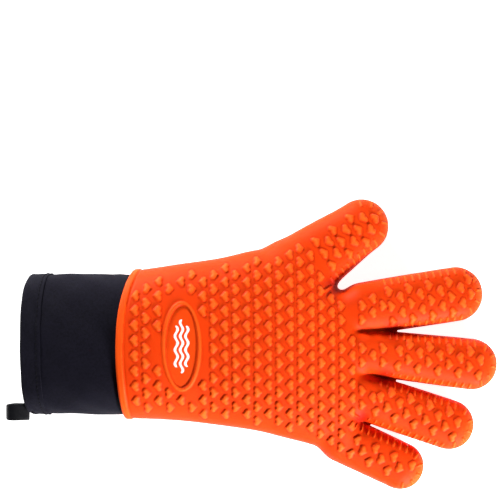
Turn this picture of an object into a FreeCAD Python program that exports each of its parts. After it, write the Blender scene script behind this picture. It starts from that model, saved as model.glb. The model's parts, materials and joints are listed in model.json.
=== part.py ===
import FreeCAD, Part
import math
import os

import Sketcher

# Heat resistant glove, right hand, lying palm side down. Units are mm.
# X runs from the cuff to the fingertips, Y to the thumb side, Z up.
# The origin is on the table, under the middle of the glove's outline.

doc = FreeCAD.newDocument("heat_resistant_glove")
dims = doc.addObject("Spreadsheet::Sheet", "Dims")

# Walls, counted inwards from the outside of the silicone.
layers = {
    "silicone_wall": 2.4,
    "layer_gap": 0.3,
    "cotton_wall": 2.4,
    "cutter_margin": 0.4,
}

# Oval sections of the hand and forearm: station, sideways shift, half width, half height.
sections = {
    "edge": (-88.0, 0.5, 53.7, 35.0),
    "forearm": (-50.0, 2.2, 57.8, 32.0),
    "wristnear": (-22.0, 2.5, 62.0, 29.6),
    "wristfar": (6.0, 3.5, 68.0, 28.0),
    "heel": (34.0, 1.0, 73.0, 26.0),
    "knuckles": (62.0, -17.0, 63.0, 21.0),
    "roots": (86.0, -21.0, 57.0, 15.0),
}

# Fingers and thumb: tip point, heading in degrees, heading of the fold, tip radius,
# radius of the buried end, its distance from the tip, thickness, edge rounding,
# root fold and middle fold as distances from the tip, and their greatest angles.
digits = {
    "thumb": (101.4, 102.0, 35.0, 35.0, 19.6, 25.5, 100.0, 34.0, 14.5, 52.0, 25.0, 50.0, 70.0),
    "index": (176.6, 42.0, 9.0, -2.4, 20.0, 20.0, 128.0, 31.0, 13.5, 57.3, 28.5, 75.0, 85.0),
    "middle": (187.5, -16.7, -6.5, -8.6, 18.9, 17.4, 136.0, 31.0, 13.5, 70.7, 33.0, 80.0, 85.0),
    "ring": (169.1, -66.3, -18.3, -13.3, 18.5, 18.2, 124.0, 31.0, 13.5, 63.1, 31.0, 80.0, 85.0),
    "little": (130.4, -99.4, -25.3, -16.1, 17.5, 17.5, 98.0, 31.0, 13.5, 43.8, 21.5, 75.0, 70.0),
}
digit_words = (
    "tip_along", "tip_across", "heading", "fold_heading", "tip_radius", "buried_radius",
    "length_all", "thickness", "rounding", "root_fold", "middle_fold", "root_angle", "middle_angle",
)

# Shared sizes of the folds, the cuff, the badge and the loop.
shared = {
    "origin_along": 4.81,
    "origin_across": 0.47,
    "fold_half_gap": 1.0,
    "fold_seam": 0.1,
    "fold_pivot_drop": 4.5,
    "wrist_along": -8.0,
    "wrist_pivot_height": 28.8,
    "wrist_palm_angle": 50.0,
    "wrist_back_angle": 40.0,
    "cuff_end": -159.4,
    "cuff_clearance": 0.4,
    "cuff_inner_end": -70.0,
    "canvas_wall": 1.2,
    "lining_wall": 1.2,
    "hem_length": 14.0,
    "hem_wall": 1.2,
    "thread_wall": 0.6,
    "thread_width": 1.0,
    "thread_inset": 3.0,
    "side_seam_height": 7.0,
    "side_seam_wall": 1.4,
    "cloth_gap": 0.1,
    "badge_along": -47.4,
    "badge_across": -1.0,
    "badge_half_length": 13.4,
    "badge_half_width": 31.2,
    "badge_rim_wide": 2.0,
    "badge_rim_proud": 0.9,
    "badge_sink": 0.6,
    "print_half_length": 5.0,
    "print_half_width": 22.0,
    "print_film": 0.4,
    "loop_inset": 2.0,
    "loop_rise": 11.0,
    "loop_width": 12.0,
    "loop_tape": 1.3,
    "loop_root_radius": 2.2,
    "loop_bow_radius": 5.6,
    "loop_reach": 10.5,
    "loop_gap": 0.3,
    "tack_length": 2.0,
    "tack_width": 9.0,
    "tack_wall": 0.8,
}

# Sizes that follow from others: the cuff fills the silicone's edge and the loop sits on the cuff.
followers = {
    "cuff_half_width": "=edge_half_width - silicone_wall - cuff_clearance",
    "cuff_half_height": "=edge_half_height - silicone_wall - cuff_clearance",
    "loop_across": "=edge_shift - cuff_half_width + loop_inset",
    "loop_height": "=edge_half_height + loop_rise",
}

cell_row = 0


def put(name, entry):
    """Put one named size in the table."""
    global cell_row
    cell_row += 1
    dims.set("A" + str(cell_row), name)
    dims.set("B" + str(cell_row), entry)
    dims.setAlias("B" + str(cell_row), name)


for name, value in layers.items():
    put(name, repr(value))
for name, value in shared.items():
    put(name, repr(value))
for name, values in sections.items():
    for word, value in zip(("along", "shift", "half_width", "half_height"), values):
        put(name + "_" + word, repr(value))
for name, values in digits.items():
    for word, value in zip(digit_words, values):
        put(name + "_" + word, repr(value))
for name, formula in followers.items():
    put(name, formula)
doc.recompute()


def cell(name):
    return "Dims." + name


def bind(thing, links):
    """Tie properties of one object to sums of table cells."""
    for prop, text in links.items():
        thing.setExpression(prop, text)
    return thing


along_text = "- Dims.origin_along"
across_text = "- Dims.origin_across"

# Depths below the outside of the silicone at which each surface of the layers lies.
depth_text = {
    "outside": "0",
    "siliconeInner": "Dims.silicone_wall",
    "cottonOuter": "Dims.silicone_wall + Dims.layer_gap",
    "cottonInner": "Dims.silicone_wall + Dims.layer_gap + Dims.cotton_wall",
    "cutter": "-Dims.cutter_margin",
    "badgeTop": "-Dims.badge_rim_proud",
    "badgeFloor": "Dims.badge_sink",
    "printTop": "Dims.badge_sink - Dims.cloth_gap - Dims.print_film",
    "printFloor": "Dims.badge_sink - Dims.cloth_gap",
}

# Local x to world Y, local y to world Z, local z to world X.
across_turn = FreeCAD.Rotation(FreeCAD.Vector(1, 1, 1), 120)


def oval(name, along, shift, wide, high, centre):
    """One oval section standing across the arm."""
    ring = doc.addObject("Part::Ellipse", name)
    ring.MajorRadius = 200
    ring.MinorRadius = 100
    ring.Placement = FreeCAD.Placement(FreeCAD.Vector(0, 0, 0), across_turn)
    bind(ring, {
        "Placement.Base.x": along,
        "Placement.Base.y": shift,
        "Placement.Base.z": centre,
        "MajorRadius": wide,
        "MinorRadius": high,
    })
    return ring


def tube_hull(name, rings):
    """A solid running straight from each section to the next."""
    hull = doc.addObject("Part::Loft", name)
    hull.Sections = rings
    hull.Solid = True
    hull.Ruled = True
    return hull


def hand_hull(depth, overrun):
    """The forearm and hand without fingers, taken in by one layer depth."""
    rings = []
    for word in sections:
        along = cell(word + "_along") + along_text
        if word == "edge":
            along += " - " + str(overrun)
        if word == "roots":
            along += " - (" + depth_text[depth] + ")"
        rings.append(oval(
            "ring_" + depth + "_" + word,
            along,
            cell(word + "_shift") + across_text,
            cell(word + "_half_width") + " - (" + depth_text[depth] + ")",
            cell(word + "_half_height") + " - (" + depth_text[depth] + ")",
            cell(word + "_half_height"),
        ))
    return tube_hull("hand_" + depth, rings)


def sketch_in(body, role, name):
    """A sketch on one of the body's own base planes."""
    sketch = body.newObject("Sketcher::SketchObject", name)
    for plane in body.Origin.OriginFeatures:
        if plane.Role == role:
            sketch.AttachmentSupport = [(plane, "")]
    sketch.MapMode = "FlatFace"
    return sketch


def datum(sketch, kind, args, name, text):
    """A named sketch dimension tied to the table."""
    number = sketch.addConstraint(Sketcher.Constraint(kind, *args))
    sketch.renameConstraint(number, name)
    sketch.setExpression("Constraints." + name, text)


def belt_sketch(sketch, centres, radii, texts):
    """Two arcs joined by the straight lines that touch both."""
    (first, second) = centres
    (small, large) = radii
    lean = math.asin((large - small) / (second - first))
    up = FreeCAD.Vector(-math.sin(lean), math.cos(lean), 0)
    down = FreeCAD.Vector(-math.sin(lean), -math.cos(lean), 0)
    a = FreeCAD.Vector(first, 0, 0)
    b = FreeCAD.Vector(second, 0, 0)
    axis = FreeCAD.Vector(0, 0, 1)
    top = math.atan2(up.y, up.x)
    low = math.atan2(down.y, down.x)
    back = sketch.addGeometry(Part.ArcOfCircle(Part.Circle(a, axis, small), top, low + 2 * math.pi), False)
    front = sketch.addGeometry(Part.ArcOfCircle(Part.Circle(b, axis, large), low, top), False)
    upper = sketch.addGeometry(Part.LineSegment(b + up * large, a + up * small), False)
    lower = sketch.addGeometry(Part.LineSegment(a + down * small, b + down * large), False)
    sketch.addConstraint(Sketcher.Constraint("Tangent", back, 1, upper, 2))
    sketch.addConstraint(Sketcher.Constraint("Tangent", back, 2, lower, 1))
    sketch.addConstraint(Sketcher.Constraint("Tangent", front, 1, lower, 2))
    sketch.addConstraint(Sketcher.Constraint("Tangent", front, 2, upper, 1))
    sketch.addConstraint(Sketcher.Constraint("PointOnObject", back, 3, -1))
    sketch.addConstraint(Sketcher.Constraint("PointOnObject", front, 3, -1))
    datum(sketch, "DistanceX", (back, 3, -1, 1, -first), "back_place", texts[0])
    datum(sketch, "DistanceX", (front, 3, -1, 1, -second), "front_place", texts[1])
    datum(sketch, "Radius", (back, small), "back_radius", texts[2])
    datum(sketch, "Radius", (front, large), "front_radius", texts[3])


def value_of(text):
    """The present value of a layer depth."""
    amount = {
        "outside": 0.0,
        "siliconeInner": layers["silicone_wall"],
        "cottonOuter": layers["silicone_wall"] + layers["layer_gap"],
        "cottonInner": layers["silicone_wall"] + layers["layer_gap"] + layers["cotton_wall"],
        "cutter": -layers["cutter_margin"],
    }
    return amount[text]


def digit_hull(name, depth):
    """One finger or the thumb as a rounded solid, its tip at the digit's own zero."""
    size = dict(zip(digit_words, digits[name]))
    inset = value_of(depth)
    body = doc.addObject("PartDesign::Body", name + "_" + depth)
    sketch = sketch_in(body, "XY_Plane", name + "_" + depth + "_plan")
    deep = " - (" + depth_text[depth] + ")"
    tip = cell(name + "_tip_radius")
    buried = cell(name + "_buried_radius")
    belt_sketch(
        sketch,
        (-size["length_all"], -size["tip_radius"]),
        (size["buried_radius"] - inset, size["tip_radius"] - inset),
        (cell(name + "_length_all"), tip, buried + deep, tip + deep),
    )
    pad = body.newObject("PartDesign::Pad", name + "_" + depth + "_pad")
    pad.Profile = sketch
    pad.Midplane = True
    pad.Length = size["thickness"] - 2 * inset
    pad.setExpression("Length", cell(name + "_thickness") + " - 2 * (" + depth_text[depth] + ")")
    doc.recompute()
    round_off = body.newObject("PartDesign::Fillet", name + "_" + depth + "_round")
    flat = [
        "Edge" + str(i + 1) for i, edge in enumerate(pad.Shape.Edges)
        if abs(edge.BoundBox.ZLength) < 0.01
    ]
    round_off.Base = (pad, flat)
    round_off.Radius = size["rounding"] - inset
    round_off.setExpression("Radius", cell(name + "_rounding") + " - (" + depth_text[depth] + ")")
    body.Tip = round_off
    body.Placement = FreeCAD.Placement(
        FreeCAD.Vector(0, 0, 0), FreeCAD.Rotation(FreeCAD.Vector(0, 0, 1), size["heading"])
    )
    bind(body, {
        "Placement.Base.x": cell(name + "_tip_along") + along_text,
        "Placement.Base.y": cell(name + "_tip_across") + across_text,
        "Placement.Base.z": cell(name + "_thickness") + " / 2",
        "Placement.Rotation.Angle": cell(name + "_heading"),
    })
    return body


def wall_prism(name, corners, width_text, place, angle):
    """A flat-sided block with the given outline seen from the side, used to divide the layers."""
    body = doc.addObject("PartDesign::Body", name)
    sketch = sketch_in(body, "XZ_Plane", name + "_side")
    count = len(corners)
    spots = [FreeCAD.Vector(at[2], at[3], 0) for at in corners]
    for i in range(count):
        sketch.addGeometry(Part.LineSegment(spots[i], spots[(i + 1) % count]), False)
    for i in range(count):
        sketch.addConstraint(Sketcher.Constraint("Coincident", i, 2, (i + 1) % count, 1))
    for i, at in enumerate(corners):
        datum(sketch, "DistanceX", (-1, 1, i, 1, at[2]), "along_" + str(i), at[0])
        datum(sketch, "DistanceY", (-1, 1, i, 1, at[3]), "height_" + str(i), at[1])
    pad = body.newObject("PartDesign::Pad", name + "_pad")
    pad.Profile = sketch
    pad.Midplane = True
    pad.Length = 100
    pad.setExpression("Length", width_text)
    body.Tip = pad
    body.Placement = FreeCAD.Placement(
        FreeCAD.Vector(0, 0, 0), FreeCAD.Rotation(FreeCAD.Vector(0, 0, 1), 0)
    )
    bind(body, place)
    if angle:
        body.setExpression("Placement.Rotation.Angle", angle)
    return body


def combine(kind, name, first, second):
    """One boolean of two objects."""
    result = doc.addObject("Part::" + kind, name)
    result.Base = first
    result.Tool = second
    return result


def together(name, items):
    """Several solids made one."""
    result = doc.addObject("Part::MultiFuse", name)
    result.Shapes = items
    return result


# Whole silicone skin and whole cotton lining, as the two soft mouldings they are.
hands = {}
for depth, overrun in (("outside", 0), ("siliconeInner", 2), ("cottonOuter", 0), ("cottonInner", 2)):
    parts_of_hand = [hand_hull(depth, overrun)]
    for name in digits:
        parts_of_hand.append(digit_hull(name, depth))
    hands[depth] = together("whole_" + depth, parts_of_hand)
cutters = {name: digit_hull(name, "cutter") for name in digits}
doc.recompute()
whole = {
    "shell": combine("Cut", "whole_shell", hands["outside"], hands["siliconeInner"]),
    "liner": combine("Cut", "whole_liner", hands["cottonOuter"], hands["cottonInner"]),
}
doc.recompute()

top_text = "90"
low_text = "-10"


def fold_line(along, height, half, angle, side, seam):
    """Corners of one side of a fold that only closes on the palm side: top, pivot, bottom."""
    sign = "-" if side < 0 else "+"
    trim = "" if not seam else (" + " if side < 0 else " - ") + cell("fold_seam")
    at_pivot = along + " " + sign + " " + half + trim
    at_low = at_pivot + " " + sign + " (" + height + " + 10) * tan(" + angle + " / 2)"
    return at_pivot, at_low


def number(text):
    """Work out a table expression now, for the sketch's starting shape."""
    probe.setExpression("Length", text)
    probe.recompute()
    return float(probe.Length)


probe = doc.addObject("Part::Box", "probe")


def signed(text):
    """Starting value of an expression that may be negative."""
    return number("(" + text + ") + 1000") - 1000


def corner(along, height):
    return (along, height, signed(along), signed(height))


def digit_regions(name):
    """Blocks that pick out the root fold, base, middle fold and tip of one digit."""
    pivot = "(" + cell(name + "_thickness") + " / 2 - Dims.fold_pivot_drop)"
    turn = "cos(" + cell(name + "_heading") + " * 1deg - " + cell(name + "_fold_heading") + " * 1deg)"
    root = "-(" + cell(name + "_root_fold") + ") * " + turn
    middle = "-(" + cell(name + "_middle_fold") + ") * " + turn
    half = "Dims.fold_half_gap"
    lines = {}
    for word, place in (("root", root), ("middle", middle)):
        angle = cell(name + "_" + word + "_angle") + " * 1deg"
        for side in (-1, 1):
            for seam in (False, True):
                lines[word, side, seam] = fold_line(place, pivot, half, angle, side, seam)

    def left_to_right(first, second):
        return [
            corner(first[0], top_text), corner(first[0], pivot), corner(first[1], low_text),
            corner(second[1], low_text), corner(second[0], pivot), corner(second[0], top_text),
        ]

    beyond = ("60", "60")
    outlines = {
        "root_fold": left_to_right(lines["root", -1, True], lines["root", 1, True]),
        "base": left_to_right(lines["root", 1, False], lines["middle", -1, False]),
        "middle_fold": left_to_right(lines["middle", -1, True], lines["middle", 1, True]),
        "tip": left_to_right(lines["middle", 1, False], beyond),
        "beyond": left_to_right(lines["root", -1, False], beyond),
    }
    place = {
        "Placement.Base.x": cell(name + "_tip_along") + along_text,
        "Placement.Base.y": cell(name + "_tip_across") + across_text,
    }
    return {
        word: wall_prism(
            name + "_" + word + "_block", outline, "160", place, cell(name + "_fold_heading")
        )
        for word, outline in outlines.items()
    }


def wrist_lines(side, seam):
    """Corners of one side of the wrist fold, which closes both ways: top, pivot, bottom."""
    sign = "-" if side < 0 else "+"
    trim = "" if not seam else (" + " if side < 0 else " - ") + cell("fold_seam")
    place = "Dims.wrist_along" + along_text + " " + sign + " Dims.fold_half_gap" + trim
    reach_up = "(90 - Dims.wrist_pivot_height) * tan(Dims.wrist_back_angle * 0.5deg)"
    reach_low = "(Dims.wrist_pivot_height + 10) * tan(Dims.wrist_palm_angle * 0.5deg)"
    return place + " " + sign + " " + reach_up, place, place + " " + sign + " " + reach_low


def wrist_regions():
    """Blocks that pick out the forearm, the wrist fold and the hand."""
    height = "Dims.wrist_pivot_height"
    near = wrist_lines(-1, False)
    far = wrist_lines(1, False)
    fold_near = wrist_lines(-1, True)
    fold_far = wrist_lines(1, True)
    back = ("-250", "-250", "-250")
    front = ("250", "250", "250")

    def left_to_right(first, second):
        return [
            corner(first[0], top_text), corner(first[1], height), corner(first[2], low_text),
            corner(second[2], low_text), corner(second[1], height), corner(second[0], top_text),
        ]

    outlines = {
        "forearm": left_to_right(back, near),
        "wrist_fold": left_to_right(fold_near, fold_far),
        "hand": left_to_right(far, front),
    }
    return {
        word: wall_prism(word + "_block", outline, "320", {}, None)
        for word, outline in outlines.items()
    }


wrist_blocks = wrist_regions()
digit_blocks = {name: digit_regions(name) for name in digits}
doc.recompute()
doc.removeObject("probe")

nodes = []


def keep(thing, label):
    """Mark one object as a part of the finished glove."""
    thing.Label = label
    nodes.append(thing)
    return thing


def divide_hand(kind, forearm_start):
    """Divide one soft moulding at its folds into parts that keep their shape and folds."""
    hand = combine("Common", "hand_of_" + kind, whole[kind], wrist_blocks["hand"])
    loose = [
        combine("Common", name + "_beyond_of_" + kind, cutters[name], digit_blocks[name]["beyond"])
        for name in digits
    ]
    keep(combine("Cut", "palm_" + kind, hand, together("digits_of_" + kind, loose)), "palm_" + kind)
    keep(
        combine("Common", "wrist_fold_" + kind, whole[kind], wrist_blocks["wrist_fold"]),
        "wrist_fold_" + kind,
    )
    outer, inner = ("outside", "siliconeInner") if kind == "shell" else ("cottonOuter", "cottonInner")
    for name in digits:
        tube = combine(
            "Cut",
            name + "_tube_" + kind,
            doc.getObject(name + "_" + outer),
            doc.getObject(name + "_" + inner),
        )
        for word in ("root_fold", "base", "middle_fold", "tip"):
            label = name + "_" + word + "_" + kind
            keep(combine("Common", label, tube, digit_blocks[name][word]), label)
    return combine("Common", "forearm_of_" + kind, whole[kind], forearm_start)


silicone_forearm = divide_hand("shell", wrist_blocks["forearm"])


def cuff_drop(place):
    """How far the cuff's oval has sunk at one station, so that it stays inside the silicone."""
    fall = "(Dims.edge_half_height - Dims.forearm_half_height)"
    run = "(Dims.forearm_along - Dims.edge_along)"
    return "(" + fall + " * (" + place + " - Dims.edge_along) / " + run + ")"


def cuff_rod(name, stations, grow):
    """An oval rod along the cuff through the given stations, grown outwards by grow."""
    rings = []
    for word, place, sunk in stations:
        drop = cuff_drop(place) if sunk else "0"
        rings.append(oval(
            name + "_" + word,
            place + along_text,
            cell("edge_shift") + across_text,
            "Dims.cuff_half_width + (" + grow + ")",
            "Dims.cuff_half_height - " + drop + " + (" + grow + ")",
            "Dims.edge_half_height - " + drop,
        ))
    return tube_hull(name, rings)


def cuff_tube(label, start, end, outer, inner, under_silicone):
    """One cloth tube of the cuff between two growths of the cuff's oval."""
    knee = [("knee", "Dims.edge_along", False)] if under_silicone else []
    rod_stations = [("start", start, False)] + knee + [("end", end, under_silicone)]
    core_stations = [("start", start + " - 1", False)] + knee + [("end", end + " + 1", under_silicone)]
    rod = cuff_rod(label + "_rod", rod_stations, outer)
    core = cuff_rod(label + "_core", core_stations, inner)
    return combine("Cut", label, rod, core)


def block(name, origin, size):
    """A plain box tied to the table."""
    box = doc.addObject("Part::Box", name)
    words = ("Placement.Base.x", "Placement.Base.y", "Placement.Base.z", "Length", "Width", "Height")
    bind(box, dict(zip(words, tuple(origin) + tuple(size))))
    return box


# Cotton lining of the forearm starts where the canvas tube ends.
cotton_block = block(
    "cotton_block",
    ("Dims.cuff_inner_end + 2" + along_text, "-100", "-10"),
    ("130", "200", "100"),
)
cotton_forearm = divide_hand("liner", wrist_blocks["forearm"])
keep(combine("Common", "gauntlet_liner", cotton_forearm, cotton_block), "gauntlet_liner")


def badge_rod(name, shrink):
    """Upright oval rod on the forearm's back, the outline of the badge taken in by shrink."""
    ring = doc.addObject("Part::Ellipse", name + "_ring")
    ring.MajorRadius = 100
    ring.MinorRadius = 50
    ring.Placement = FreeCAD.Placement(
        FreeCAD.Vector(0, 0, 0), FreeCAD.Rotation(FreeCAD.Vector(0, 0, 1), 90)
    )
    bind(ring, {
        "Placement.Base.x": "Dims.badge_along" + along_text,
        "Placement.Base.y": "Dims.badge_across" + across_text,
        "Placement.Base.z": "Dims.forearm_half_height",
        "MajorRadius": "Dims.badge_half_width - " + shrink,
        "MinorRadius": "Dims.badge_half_length - " + shrink,
    })
    rod = doc.addObject("Part::Extrusion", name)
    rod.Base = ring
    rod.DirMode = "Custom"
    rod.Dir = FreeCAD.Vector(0, 0, 1)
    rod.LengthFwd = 60
    rod.Solid = True
    return rod


def forearm_depth(depth):
    """The forearm's solid taken in to one depth, over the badge's stretch."""
    rings = [
        oval(
            "badge_" + depth + "_" + word,
            cell(word + "_along") + along_text,
            cell(word + "_shift") + across_text,
            cell(word + "_half_width") + " - (" + depth_text[depth] + ")",
            cell(word + "_half_height") + " - (" + depth_text[depth] + ")",
            cell(word + "_half_height"),
        )
        for word in ("edge", "forearm", "wristnear")
    ]
    return tube_hull("forearm_" + depth, rings)


# Silicone forearm with the badge's raised rim and sunk floor.
badge_whole = badge_rod("badge_out", "0")
badge_inside = badge_rod("badge_in", "Dims.badge_rim_wide")
rim_band = combine("Cut", "badge_band", badge_whole, badge_inside)
rim_high = combine("Common", "badge_rim_high", rim_band, forearm_depth("badgeTop"))
rim = combine("Cut", "badge_rim", rim_high, forearm_depth("badgeFloor"))
badge_field = badge_rod("badge_field", "Dims.badge_rim_wide")
sunk = combine("Cut", "badge_sunk", badge_field, doc.getObject("forearm_badgeFloor"))
forearm_sunk = combine("Cut", "forearm_sunk", silicone_forearm, sunk)
keep(combine("Fuse", "gauntlet_shell", forearm_sunk, rim), "gauntlet_shell")


def print_rod():
    """Upright rod with the outline of the printed mark."""
    ring = doc.addObject("Part::Ellipse", "print_ring")
    ring.MajorRadius = 100
    ring.MinorRadius = 50
    ring.Placement = FreeCAD.Placement(
        FreeCAD.Vector(0, 0, 0), FreeCAD.Rotation(FreeCAD.Vector(0, 0, 1), 90)
    )
    bind(ring, {
        "Placement.Base.x": "Dims.badge_along" + along_text,
        "Placement.Base.y": "Dims.badge_across" + across_text,
        "Placement.Base.z": "Dims.forearm_half_height",
        "MajorRadius": "Dims.print_half_width",
        "MinorRadius": "Dims.print_half_length",
    })
    rod = doc.addObject("Part::Extrusion", "print_rod")
    rod.Base = ring
    rod.DirMode = "Custom"
    rod.Dir = FreeCAD.Vector(0, 0, 1)
    rod.LengthFwd = 60
    rod.Solid = True
    return rod


mark = combine("Common", "print_patch", print_rod(), forearm_depth("printTop"))
keep(combine("Cut", "badge_print", mark, forearm_depth("printFloor")), "badge_print")

# Cuff of canvas with its lining, hem band, stitching and side seam.
cuff_start = "Dims.cuff_end"
hem_end = "Dims.cuff_end + Dims.hem_length"
canvas_in = "-Dims.canvas_wall"
lining_out = "-Dims.canvas_wall - Dims.cloth_gap"
lining_in = "-Dims.canvas_wall - Dims.cloth_gap - Dims.lining_wall"
cuff_stop = "Dims.cuff_inner_end"
keep(cuff_tube("cuff_canvas", cuff_start, cuff_stop, "0", canvas_in, True), "cuff_canvas")
keep(cuff_tube("cuff_lining", cuff_start, cuff_stop, lining_out, lining_in, True), "cuff_lining")
hem_out = "Dims.cloth_gap + Dims.hem_wall"
keep(cuff_tube("cuff_hem", cuff_start, hem_end, hem_out, "Dims.cloth_gap", False), "cuff_hem")
thread_start = hem_end + " - Dims.thread_inset"
thread_end = thread_start + " + Dims.thread_width"
thread_in = hem_out + " + Dims.cloth_gap"
thread_out = thread_in + " + Dims.thread_wall"
keep(cuff_tube("hem_stitching", thread_start, thread_end, thread_out, thread_in, False), "hem_stitching")

seam_in = lining_in + " - Dims.cloth_gap - Dims.side_seam_wall"
seam_tube = cuff_tube(
    "seam_tube", cuff_start + " + 3", cuff_stop + " - 3", lining_in + " - Dims.cloth_gap", seam_in, True
)
seam_block = block(
    "seam_block",
    ("-200", "-100", "Dims.edge_half_height - Dims.side_seam_height / 2"),
    ("200", "100", "Dims.side_seam_height"),
)
keep(combine("Common", "cuff_side_seam", seam_tube, seam_block), "cuff_side_seam")

# Bar tack over the hem at the loop's root.
tack_in = hem_out + " + Dims.cloth_gap"
tack_tube = cuff_tube(
    "tack_tube", cuff_start + " + 2", cuff_start + " + 2 + Dims.tack_length",
    tack_in + " + Dims.tack_wall", tack_in, False,
)
tack_block = block(
    "tack_block",
    (
        "-200",
        "Dims.loop_across - Dims.tack_width / 2" + across_text,
        "Dims.edge_half_height",
    ),
    ("200", "Dims.tack_width", "60"),
)
keep(combine("Common", "loop_tack", tack_tube, tack_block), "loop_tack")


def hanging_loop():
    """Loop of tape: a narrow root at the hem and a round bow beyond it, open across."""
    root = shared["loop_root_radius"]
    bow = shared["loop_bow_radius"]
    reach = shared["loop_reach"]
    tape = shared["loop_tape"]
    body = doc.addObject("PartDesign::Body", "hanging_loop")
    outline = sketch_in(body, "XZ_Plane", "loop_outline")
    belt_sketch(
        outline,
        (-reach, 0.0),
        (bow, root),
        ("Dims.loop_reach", "0", "Dims.loop_bow_radius", "Dims.loop_root_radius"),
    )
    pad = body.newObject("PartDesign::Pad", "loop_pad")
    pad.Profile = outline
    pad.Midplane = True
    pad.Length = shared["loop_width"]
    pad.setExpression("Length", "Dims.loop_width")
    hole = sketch_in(body, "XZ_Plane", "loop_hole")
    belt_sketch(
        hole,
        (-reach, -2.5),
        (bow - tape, root - tape),
        (
            "Dims.loop_reach",
            "2.5",
            "Dims.loop_bow_radius - Dims.loop_tape",
            "Dims.loop_root_radius - Dims.loop_tape",
        ),
    )
    pocket = body.newObject("PartDesign::Pocket", "loop_pocket")
    pocket.Profile = hole
    pocket.Type = "ThroughAll"
    pocket.Midplane = True
    body.Tip = pocket
    bind(body, {
        "Placement.Base.x": "Dims.cuff_end - Dims.loop_gap - Dims.loop_root_radius" + along_text,
        "Placement.Base.y": "Dims.loop_across" + across_text,
        "Placement.Base.z": "Dims.loop_height",
    })
    return body


keep(hanging_loop(), "hanging_loop")
doc.recompute()

# Every object must be sound before anything is written.
for thing in doc.Objects:
    if "Invalid" in thing.State or "Error" in thing.State:
        raise RuntimeError(thing.Name + " did not build: " + str(thing.State))
os.makedirs("parts", exist_ok=True)
for thing in nodes:
    if thing.Shape.isNull() or not thing.Shape.isValid():
        raise RuntimeError(thing.Label + " has no sound shape")
    if len(thing.Shape.Solids) != 1:
        raise RuntimeError(thing.Label + " has " + str(len(thing.Shape.Solids)) + " solids")
for thing in nodes:
    thing.Shape.exportStep("parts/" + thing.Label + ".step")
print("wrote", len(nodes), "parts")
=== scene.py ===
import json
import math

import bmesh
import bpy
import numpy as np
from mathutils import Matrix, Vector


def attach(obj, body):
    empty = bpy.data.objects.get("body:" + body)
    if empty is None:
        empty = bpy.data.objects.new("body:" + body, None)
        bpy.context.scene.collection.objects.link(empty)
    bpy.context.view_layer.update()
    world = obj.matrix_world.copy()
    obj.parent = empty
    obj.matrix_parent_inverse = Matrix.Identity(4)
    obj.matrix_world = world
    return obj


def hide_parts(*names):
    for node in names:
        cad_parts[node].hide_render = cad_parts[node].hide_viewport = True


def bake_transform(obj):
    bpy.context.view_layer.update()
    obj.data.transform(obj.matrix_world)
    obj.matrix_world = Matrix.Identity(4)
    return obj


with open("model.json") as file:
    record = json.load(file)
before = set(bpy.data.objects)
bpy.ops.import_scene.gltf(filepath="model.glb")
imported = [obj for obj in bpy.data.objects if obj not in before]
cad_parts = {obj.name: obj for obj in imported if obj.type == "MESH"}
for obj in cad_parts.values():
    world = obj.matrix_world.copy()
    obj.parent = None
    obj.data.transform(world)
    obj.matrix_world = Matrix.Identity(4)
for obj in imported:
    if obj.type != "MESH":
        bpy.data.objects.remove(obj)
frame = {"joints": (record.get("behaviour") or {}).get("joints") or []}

# Sizes are millimetres on the frame's own axes. Meshes are written in metres.
mm = 0.001
joints = {j["name"]: j for j in frame["joints"]}
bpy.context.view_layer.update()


def log(*words):
    print("stage:", *words, flush=True)


# A smooth value through rows of (station, value).
def curve(points, at):
    xs = np.array([p[0] for p in points], float)
    ys = np.array([p[1] for p in points], float)
    slopes = np.gradient(ys, xs)
    x = np.clip(at, xs[0], xs[-1])
    i = np.clip(np.searchsorted(xs, x) - 1, 0, len(xs) - 2)
    step = xs[i + 1] - xs[i]
    t = (x - xs[i]) / step
    return ((2 * t**3 - 3 * t**2 + 1) * ys[i] + (t**3 - 2 * t**2 + t) * step * slopes[i]
            + (3 * t**2 - 2 * t**3) * ys[i + 1] + (t**3 - t**2) * step * slopes[i + 1])


def smoothStep(low, high, x):
    t = np.clip((x - low) / (high - low), 0, 1)
    return t * t * (3 - 2 * t)


def softMin(a, b, k):
    h = np.maximum(k - np.abs(a - b), 0) / k
    return np.minimum(a, b) - h * h * k / 4


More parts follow.
